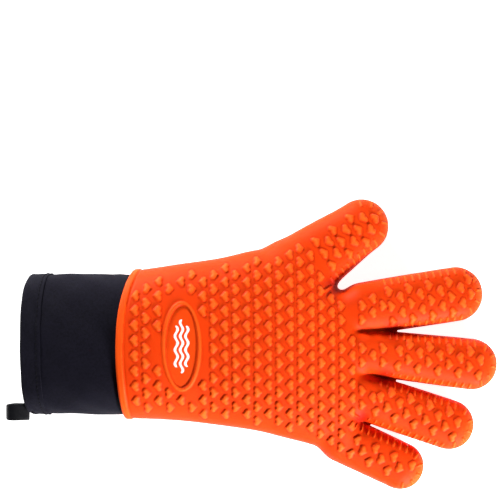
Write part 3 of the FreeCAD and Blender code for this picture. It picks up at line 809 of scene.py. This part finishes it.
# The cuff follows the silicone's inside, then hangs on as a slack oval with soft creases:
# height, count round the cuff, run along it and start of each.
cuffLooks = dict(lastStation=-92.8, under=2.9, power=2.3,
                 creases=[(0.5, 3, 0.045, 1.1), (0.35, 5, -0.09, 0.4), (0.22, 8, 0.16, 2.0),
                          (0.16, 13, -0.22, 0.3)], slackCrease=8)
canvasLooks = dict(start=-161.8, end=-74, step=1.6, around=260, under=0, wall=1.2, slot="canvas")
liningLooks = dict(start=-161.3, end=-74, step=3.0, around=200, under=1.35, wall=1.1,
                   slot="cuff_lining_cloth")
cuffSizes = {}


# Shift, half width, half height, middle height, freedom and looseness of the cuff at a station.
def cuffSize(x):
    if x not in cuffSizes:
        under = cuffLooks["under"]
        at = np.array([max(x, cuffLooks["lastStation"])])
        shift, wide, high = (float(v[0]) for v in handAt(at))
        wide -= under
        high -= under
        middle = high + under + handLooks["floorGap"]
        free = float(smoothStep(-92, -101, x))
        fall = float(smoothStep(-104, -164, x))
        loose = float(smoothStep(-105, -130, x))
        cuffSizes[x] = (shift, wide + (free * 0.6 - fall * 1.3), high + (free * 0.6 - fall * 0.6),
                        middle - free * 0.3, free, loose)
    return cuffSizes[x]


# A point on the cuff at a depth under its outside.
def cuffOval(x, a, under):
    shift, wide, high, middle, free, loose = cuffSize(x)
    fold = 0
    for size, count, run, start in cuffLooks["creases"]:
        slack = loose if count == cuffLooks["slackCrease"] else 1
        fold += size * math.sin(count * a + x * run + start) * slack
    out = free * fold - under
    r, ca, sa = squareOut(a, cuffLooks["power"])
    return Vector((x, shift + (wide + out) * r * ca, middle + (high + out) * r * sa))


def sleeve(name, look):
    under, wall = look["under"], look["wall"]
    count = int((look["end"] - look["start"]) / look["step"])
    xs = [look["start"] + (look["end"] - look["start"]) * k / count for k in range(count + 1)]
    path = [(x, under) for x in xs]
    path += [(xs[-1] + 0.3, under + wall * 0.3), (xs[-1] + 0.3, under + wall * 0.7)]
    path += [(x, under + wall) for x in reversed(xs)]
    path += [(xs[0] - 0.3, under + wall * 0.7), (xs[0] - 0.3, under + wall * 0.3)]
    return ringTube(name, len(path), look["around"], lambda i, a: cuffOval(path[i][0], a, path[i][1]))


canvas = sleeve("cuffCanvas", canvasLooks)
lining = sleeve("cuffLining", liningLooks)
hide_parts("cuff_canvas")
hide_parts("cuff_lining")

hemLooks = dict(start=-162.9, end=-149.4, inner=-156.0, wall=0.75, around=260, ripples=24,
                slot="hem_canvas")
stitchLooks = dict(at=-152.0, count=96, share=0.68, lift=0.22, thick=0.34, sag=0.22, slot="thread")


# The hem's section as rows of X and depth: over the outside, round the open edge, along the
# inside and back against the canvas. The stitches draw it in.
def hemSection():
    first, last, inner, wall = (hemLooks[k] for k in ("start", "end", "inner", "wall"))
    rows = [(last, -0.08), (last + 0.25, -0.5), (last + 0.1, -0.95), (last - 0.5, -wall - 0.05)]
    for k in range(11):
        x = last - 1.6 - k * 1.1
        rows.append((x, -wall - 0.12 + 0.10 * math.exp(-((x - stitchLooks["at"]) / 0.8) ** 2)))
    rows += [(first + 0.4, -wall + 0.1), (first - 0.35, -0.2), (first - 0.6, 1.1), (first - 0.4, 2.5),
             (first + 0.3, 3.35), (first + 1.6, 3.55), (first + 3.5, 3.6)]
    rows += [(inner - 0.3, 3.55), (inner, 3.2), (inner - 0.2, 2.62)]
    rows += [(first + 3.5, 2.56), (first + 1.6, 2.56), (first + 0.9, 2.4), (first + 0.75, 1.2),
             (first + 0.9, 0.0), (first + 1.6, -0.06)]
    return rows + [(first + 3 + k * 1.9, -0.06) for k in range(6)]


hemRows = hemSection()
hem = ringTube("cuffHem", len(hemRows), hemLooks["around"],
               lambda i, a: cuffOval(hemRows[i][0], a,
                                     hemRows[i][1] + 0.07 * math.sin(hemLooks["ripples"] * a + i)))
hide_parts("cuff_hem")


# Sewing stitches: one short rounded thread for each pair of end points and its way out.
def stitchRow(name, pairs, thick, sag):
    bm = bmesh.new()
    for p, q, out in pairs:
        ahead = q - p
        length = ahead.length
        ahead.normalize()
        side = ahead.cross(out).normalized()
        for v in bmesh.ops.create_uvsphere(bm, u_segments=10, v_segments=8, radius=1)["verts"]:
            t = max(-1, min(1, v.co.z * 1.15))
            v.co = ((p + q) / 2 + ahead * (t * length / 2) + side * (v.co.x * thick)
                    + out * (v.co.y * thick - sag * t * t))
    return closePiece(name, bm)


# A point on the hem's outside, or above it.
def hemSpot(x, a, lift):
    return cuffOval(x, a, -hemLooks["wall"] - lift)


pairs = []
for k in range(stitchLooks["count"]):
    a = 2 * math.pi * k / stitchLooks["count"]
    half = math.pi / stitchLooks["count"] * stitchLooks["share"]
    p, q = (hemSpot(stitchLooks["at"], a + way * half, stitchLooks["lift"]) for way in (-1, 1))
    out = (hemSpot(stitchLooks["at"], a, 1.2) - hemSpot(stitchLooks["at"], a, 0.2)).normalized()
    pairs.append((p, q, out))
stitches = stitchRow("hemStitches", pairs, stitchLooks["thick"], stitchLooks["sag"])
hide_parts("hem_stitching")

# The felled seam runs along the inside of the lining on the little finger side.
seamLooks = dict(start=-161, end=-78, stations=42, around=16, spread=0.115, under=2.55, wall=1.0,
                 slot="seam_tape")


def seamSpot(i, a):
    last = seamLooks["stations"] - 1
    x = seamLooks["start"] + (seamLooks["end"] - seamLooks["start"]) * i / last
    pinch = 0.12 if i in (0, last) else 0
    swell = seamLooks["wall"] / 2 * math.sin(a) * (1 - pinch)
    under = seamLooks["under"] + seamLooks["wall"] / 2 + swell + 0.05 * math.sin(x * 2.1)
    return cuffOval(x, math.pi + seamLooks["spread"] * math.cos(a), under)


seam = ringTube("cuffSeam", seamLooks["stations"], seamLooks["around"], seamSpot, capped=True)
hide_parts("cuff_side_seam")

log("loop, tack and mark")
tapeLooks = dict(root=(-163.4, 46.0), out=17.4, bow=5.2, tape=1.25, wide=12.0, middle=-48.3,
                 stations=61, around=64, power=4.5, waist=0.16, ribs=0.05, ribPitch=1.0,
                 slot="loop_tape")


# The loop's middle line leaves the hem, bows out and comes back to it.
def tapeLine():
    rx, rz = tapeLooks["root"]
    bow = tapeLooks["bow"]
    spots = []
    for k in range(tapeLooks["stations"]):
        a = math.pi * (2 * (k / (tapeLooks["stations"] - 1)) - 1)
        x = rx - (tapeLooks["out"] - bow * 0.35) * (math.cos(a) + 1) / 2
        z = rz + bow * math.sin(a) * (0.42 + 0.58 * (1 + math.cos(a)) / 2)
        spots.append(Vector((x, 0, z)))
    return spots


loopLine = tapeLine()


def tapeSpot(i, a):
    last = len(loopLine) - 1
    ahead = (loopLine[min(i + 1, last)] - loopLine[max(i - 1, 0)]).normalized()
    out = Vector((ahead.z, 0, -ahead.x))
    r, ca, sa = squareOut(a, tapeLooks["power"])
    far = abs(i / last - 0.5) * 2
    waist = 1 - tapeLooks["waist"] * (1 - min(1, far / 0.45)) ** 2
    across = tapeLooks["wide"] / 2 * r * ca * waist
    rib = tapeLooks["ribs"] * math.cos(across * 2 * math.pi / tapeLooks["ribPitch"])
    lift = (tapeLooks["tape"] / 2 + rib) * r * sa
    return loopLine[i] + out * lift + Vector((0, tapeLooks["middle"] + across, 0))


tape = ringTube("hangingTape", len(loopLine), tapeLooks["around"], tapeSpot, capped=True)
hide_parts("hanging_loop")

# Two slanting rows of threads hold the loop's ends in the hem.
tackLooks = dict(at=-159.6, turn=163, perMm=0.028, length=9.0, reach=1.0, slant=0.35, count=13,
                 thick=0.33, sag=0.15, slot="thread")
pairs = []
for way in (-1, 1):
    for k in range(tackLooks["count"]):
        t = (k / (tackLooks["count"] - 1) - 0.5) * tackLooks["length"]
        a = math.radians(tackLooks["turn"]) + t * tackLooks["perMm"]
        b = math.radians(tackLooks["turn"]) + (t + way * tackLooks["slant"]) * tackLooks["perMm"]
        p = hemSpot(tackLooks["at"] - tackLooks["reach"], a, 0.28)
        q = hemSpot(tackLooks["at"] + tackLooks["reach"], b, 0.28)
        pairs.append((p, q, (hemSpot(tackLooks["at"], a, 1.3) - (p + q) / 2).normalized()))
tack = stitchRow("loopTack", pairs, tackLooks["thick"], tackLooks["sag"])
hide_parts("loop_tack")

# Three plain heat waves along the badge: each stroke's place across it and its length.
printLooks = dict(strokes=[(-3.7, 29.0), (0.0, 38.0), (3.7, 29.0)], wave=0.95, period=9.5,
                  thick=0.98, film=0.14, slot="print_ink")
bx, by = badgeLooks["at"]
marks = bmesh.new()
dots = []
for across, length in printLooks["strokes"]:
    for v in bmesh.ops.create_uvsphere(marks, u_segments=20, v_segments=96, radius=1)["verts"]:
        t = math.asin(max(-1, min(1, v.co.z))) / (math.pi / 2)
        around = math.hypot(v.co.x, v.co.y)
        lean = math.sqrt(max(0, 1 - max(0, (abs(t) - 0.93) / 0.07) ** 2))
        cu, cv = (v.co.x / around, v.co.y / around) if around > 1e-6 else (0, 0)
        y = by + t * length / 2
        bend = printLooks["wave"] * math.sin((y - by) / printLooks["period"] * 2 * math.pi)
        dots.append((v, bx + across + bend + cu * printLooks["thick"] * lean, y, cv * lean))
ground = np.array([(x, y, 64.0) for v, x, y, lift in dots])
ground = pullToSurface(ground, badgeLooks["sink"] - 0.02, 6)
for (v, x, y, lift), p in zip(dots, ground):
    v.co = Vector(p) + Vector((0, 0, max(lift, -0.3) * printLooks["film"]))
mark = closePiece("badgeWaves", marks)
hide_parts("badge_print")
for piece in (canvas, lining, hem, stitches, seam, tack, mark):
    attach(piece, "gauntlet")
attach(tape, "loop")


# Builds one node material. Inputs go by socket name or number.
class Paint:
    def __init__(self, name):
        self.mat = bpy.data.materials.new(name)
        self.mat.use_nodes = True
        self.tree = self.mat.node_tree
        self.shader = self.tree.nodes["Principled BSDF"]
        self.where = self.add("ShaderNodeTexCoord").outputs["Object"]

    def add(self, kind, settings=(), inputs=()):
        node = self.tree.nodes.new(kind)
        for key, value in dict(settings).items():
            setattr(node, key, value)
        for key, value in dict(inputs).items():
            if hasattr(value, "is_output"):
                self.tree.links.new(value, node.inputs[key])
            else:
                node.inputs[key].default_value = value
        return node

    def link(self, value, socket):
        self.tree.links.new(value, self.shader.inputs[socket])

    def set(self, **values):
        for key, value in values.items():
            self.shader.inputs[key.replace("_", " ")].default_value = value

    def math(self, how, a, b=0.0, clamp=False):
        return self.add("ShaderNodeMath", dict(operation=how, use_clamp=clamp), {0: a, 1: b}).outputs[0]

    def times(self, a, b):
        return self.math("MULTIPLY", a, b)

    def noise(self, scale, detail):
        return self.add("ShaderNodeTexNoise", (),
                        dict(Vector=self.where, Scale=scale, Detail=detail)).outputs["Fac"]

    def attribute(self, name):
        return self.add("ShaderNodeAttribute", dict(attribute_name=name)).outputs["Fac"]

    # Both ways of the piece's own cloth map, in millimetres.
    def cloth(self):
        uv = self.add("ShaderNodeUVMap", dict(uv_map="cloth")).outputs[0]
        split = self.add("ShaderNodeSeparateXYZ", (), dict(Vector=uv))
        return split.outputs[0], split.outputs[1]

    def ramp(self, factor, stops):
        node = self.add("ShaderNodeValToRGB", (), {0: factor})
        ramp = node.color_ramp
        while len(ramp.elements) < len(stops):
            ramp.elements.new(0.5)
        for element, (at, colour) in zip(ramp.elements, stops):
            element.position = at
            element.color = colour + (1,)
        return node.outputs[0]

    def bump(self, height, strength, distance):
        node = self.add("ShaderNodeBump", (), dict(Height=height, Strength=strength, Distance=distance))
        self.link(node.outputs[0], "Normal")


# Silicone colours: crests painted lighter than valleys as painted light, and the dark colour last is
# painted shade for crevices and webs.
siliconeLooks = dict(valley=(0.78, 0.047, 0.002), ground=(0.84, 0.070, 0.004),
                     crest=(0.93, 0.132, 0.014), crevice=(0.42, 0.010, 0.001, 1),
                     rough=0.47, gloss=0.06, grain=0.10)


def siliconePaint():
    p = Paint("silicone")
    look = siliconeLooks
    cloud = p.noise(38.0, 3.0)
    drift = p.times(p.math("SUBTRACT", cloud, 0.5), 0.35)
    # painted light: the tone attribute lightens crests, ribs and tips, with a random drift of colour
    mix = p.math("ADD", p.attribute("paintedLightTone"), drift, True)
    colour = p.ramp(mix, [(0.0, look["valley"]), (0.4, look["ground"]), (1.0, look["crest"])])
    # painted shade: the dark colour is mixed in where the shade attribute lies
    dark = p.add("ShaderNodeMix", dict(data_type="RGBA", blend_type="MIX"),
                 {0: p.attribute("shade"), 6: colour, 7: look["crevice"]})
    p.link(dark.outputs[2], "Base Color")
    p.link(p.math("ADD", p.times(cloud, 0.14), look["rough"]), "Roughness")
    p.set(Subsurface_Weight=0.12, Subsurface_Scale=0.0025, Subsurface_Radius=(1.0, 0.22, 0.05),
          Specular_IOR_Level=look["gloss"])
    p.bump(p.noise(1500.0, 2.0), look["grain"], 0.0003)
    return p.mat


# Plain woven cloth from two crossed sets of threads, pitch apart in millimetres.
def weavePaint(name, low, high, pitch, rough, depth):
    p = Paint(name)
    along, across = (p.math("SINE", p.times(way, math.pi / pitch)) for way in p.cloth())
    over = p.math("GREATER_THAN", p.times(along, across), 0.0)
    threads = p.add("ShaderNodeMix", dict(data_type="FLOAT"),
                    {0: over, 2: p.math("ABSOLUTE", along), 3: p.math("ABSOLUTE", across)}).outputs[0]
    fuzz = p.noise(620.0, 4.0)
    worn = p.noise(26.0, 4.0)
    mix = p.math("ADD", p.times(threads, 0.55),
                 p.math("ADD", p.times(worn, 0.25), p.times(fuzz, 0.75)), True)
    p.link(p.ramp(mix, [(0.45, low), (1.0, high)]), "Base Color")
    p.set(Roughness=rough, Sheen_Weight=0.03, Sheen_Roughness=0.5, Sheen_Tint=(0.6, 0.62, 0.8, 1),
          Specular_IOR_Level=0.08)
    p.bump(p.math("ADD", threads, p.times(fuzz, 0.5)), 0.55, depth * mm)
    return p.mat


def cottonPaint():
    p = Paint("cotton")
    cells = p.add("ShaderNodeTexVoronoi", (), dict(Vector=p.where, Scale=620.0)).outputs["Distance"]
    worn = p.noise(60.0, 4.0)
    p.link(p.ramp(worn, [(0.2, (0.60, 0.57, 0.50)), (0.8, (0.78, 0.75, 0.68))]), "Base Color")
    p.set(Roughness=0.9, Sheen_Weight=0.3)
    p.bump(cells, 0.5, 0.0006)
    return p.mat


def threadPaint():
    p = Paint("thread")
    wave = p.add("ShaderNodeTexWave", (), dict(Vector=p.where, Scale=900.0, Distortion=2.0))
    twist = wave.outputs["Fac"]
    p.link(p.ramp(twist, [(0.0, (0.001, 0.001, 0.002)), (1.0, (0.006, 0.006, 0.009))]), "Base Color")
    p.set(Roughness=0.8, Specular_IOR_Level=0.1)
    p.bump(twist, 0.4, 0.0001)
    return p.mat


# Ribbed tape with a slight gloss.
def tapePaint():
    p = Paint("tape")
    ribs = p.math("ABSOLUTE", p.math("SINE", p.times(p.cloth()[0], math.pi / 0.62)))
    mix = p.math("ADD", p.times(ribs, 0.7), p.times(p.noise(1800.0, 2.0), 0.3))
    p.link(p.ramp(mix, [(0.1, (0.001, 0.001, 0.002)), (0.9, (0.008, 0.008, 0.010))]), "Base Color")
    p.set(Roughness=0.34, Specular_IOR_Level=0.3)
    p.bump(mix, 0.5, 0.0002)
    return p.mat


def inkPaint():
    p = Paint("ink")
    speck = p.noise(900.0, 3.0)
    p.link(p.ramp(speck, [(0.3, (0.90, 0.88, 0.86)), (0.7, (0.97, 0.96, 0.95))]), "Base Color")
    p.set(Roughness=0.55)
    p.bump(speck, 0.15, 0.0001)
    return p.mat


log("materials")
# Woven cloths: dark and light of the thread, pitch, roughness and depth of the weave.
clothLooks = {
    "canvas": ("canvas", (0.0004, 0.0004, 0.0010), (0.0066, 0.0058, 0.0128), 0.62, 0.86, 0.16),
    "hem_canvas": ("hemCanvas", (0.0006, 0.0006, 0.0012), (0.0074, 0.0066, 0.0136), 0.62, 0.86, 0.16),
    "cuff_lining_cloth": ("liningCloth", (0.006, 0.006, 0.008), (0.028, 0.027, 0.036), 0.5, 0.9, 0.1),
    "seam_tape": ("seamTape", (0.005, 0.005, 0.007), (0.022, 0.021, 0.03), 0.7, 0.85, 0.12),
}
paints = {slot: weavePaint(*look) for slot, look in clothLooks.items()}
paints.update(silicone=siliconePaint(), cotton_lining=cottonPaint(), thread=threadPaint(),
              loop_tape=tapePaint(), print_ink=inkPaint())
wears = [(canvas, canvasLooks), (lining, liningLooks), (hem, hemLooks), (stitches, stitchLooks),
         (seam, seamLooks), (tack, tackLooks), (tape, tapeLooks), (mark, printLooks)]
wears += [(piece, skinLooks) for piece in skins.values()]
wears += [(piece, linerLooks) for piece in liners.values()]
for piece, look in wears:
    piece.data.materials.clear()
    piece.data.materials.append(paints[look["slot"]])

log("studio")
cameraLooks = dict(lens=52.3, sensor=36, at=(-4.81, -0.47, 567), shift=0.19, near=0.01)
# Soft lamps all round: degrees round from +X, degrees up, width in metres, watts.
lightLooks = dict(lamps=[(116, 17, 0.216, 22.0), (-52, 19, 0.216, 28.0), (10, 58, 0.72, 0.8)],
                  away=1.1, aim=(0, 0, 0.02), fill=0.05)
floorLooks = dict(size=30, glow=0.9, low=(0.93, 0.93, 0.93), high=(0.96, 0.96, 0.96))

scene = bpy.context.scene
cam = bpy.data.objects.new("camera", bpy.data.cameras.new("camera"))
scene.collection.objects.link(cam)
cam.data.lens = cameraLooks["lens"]
cam.data.sensor_width = cameraLooks["sensor"]
cam.data.shift_y = cameraLooks["shift"]
cam.data.clip_start = cameraLooks["near"]
cam.location = Vector(cameraLooks["at"]) * mm
scene.camera = cam
scene.view_settings.view_transform = "Standard"
world = bpy.data.worlds.new("world")
scene.world = world
world.use_nodes = True
world.node_tree.nodes["Background"].inputs[0].default_value = (1, 1, 1, 1)
world.node_tree.nodes["Background"].inputs[1].default_value = lightLooks["fill"]

floorMesh = bmesh.new()
bmesh.ops.create_grid(floorMesh, x_segments=1, y_segments=1, size=floorLooks["size"])
floor = newPiece("floor", floorMesh)
paper = Paint("paper")
paper.link(paper.ramp(paper.noise(400.0, 2.0), [(0.3, floorLooks["low"]), (0.7, floorLooks["high"])]),
           "Base Color")
paper.set(Roughness=0.9, Emission_Strength=floorLooks["glow"], Emission_Color=(1, 1, 1, 1))
floor.data.materials.append(paper.mat)

for k, (turn, lift, size, watts) in enumerate(lightLooks["lamps"]):
    lamp = bpy.data.lights.new("soft" + str(k), "AREA")
    lamp.energy = watts
    lamp.size = size
    up, side = math.radians(lift), math.radians(turn)
    way = Vector((math.cos(up) * math.cos(side), math.cos(up) * math.sin(side), math.sin(up)))
    holder = bpy.data.objects.new("soft" + str(k), lamp)
    holder.location = way * lightLooks["away"]
    look = Vector(lightLooks["aim"]) - holder.location
    holder.rotation_euler = look.to_track_quat("-Z", "Y").to_euler()
    scene.collection.objects.link(holder)
